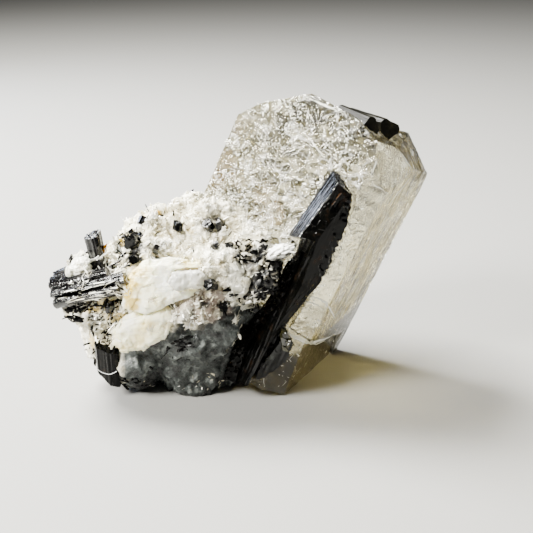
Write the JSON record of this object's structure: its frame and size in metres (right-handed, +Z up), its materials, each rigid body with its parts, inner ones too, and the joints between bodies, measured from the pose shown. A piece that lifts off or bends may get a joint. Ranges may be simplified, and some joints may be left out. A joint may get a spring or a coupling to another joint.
{
  "type": "mineral specimen",
  "caption": "Leaning colourless topaz crystal with long black tourmaline prisms, grown on a lumpy white feldspar matrix.",
  "frame": {"origin": "under the middle of the specimen, on the surface it rests on", "axes": "+X to the right along its longest extent, +Y to the back, +Z up; the view of the picture looks along +Y"},
  "size_m": [0.0512, 0.0282, 0.041],
  "materials": {
    "topaz": "clear to pale cream crystal with etched and striated faces",
    "black_tourmaline": "glossy black, finely striated along its length",
    "white_feldspar": "white, fine grained and dull with small bright cleavages",
    "cream_feldspar": "cream, satin cleavage faces",
    "quartz": "translucent grey white, greasy gloss"
  },
  "bodies": {
    "root": {"topaz_crystal": "topaz", "main_tourmaline": "black_tourmaline", "tourmaline_splinter": "black_tourmaline", "top_tourmaline_left": "black_tourmaline", "top_tourmaline_right": "black_tourmaline", "left_tourmaline_bundle": "black_tourmaline", "left_tourmaline_prism": "black_tourmaline", "left_tourmaline_block": "black_tourmaline", "feldspar_matrix": "white_feldspar", "cream_feldspar_upper": "cream_feldspar", "cream_feldspar_lower": "cream_feldspar", "cream_feldspar_small": "cream_feldspar", "white_blade": "cream_feldspar", "quartz_lens": "quartz", "quartz_knob": "quartz", "tourmaline_grain_01": "black_tourmaline", "tourmaline_grain_02": "black_tourmaline", "tourmaline_grain_03": "black_tourmaline", "tourmaline_grain_04": "black_tourmaline", "tourmaline_grain_05": "black_tourmaline", "tourmaline_grain_06": "black_tourmaline", "tourmaline_grain_07": "black_tourmaline", "tourmaline_grain_08": "black_tourmaline", "tourmaline_grain_09": "black_tourmaline", "tourmaline_grain_10": "black_tourmaline", "tourmaline_grain_11": "black_tourmaline", "tourmaline_grain_12": "black_tourmaline"}
  },
  "joints": []
}
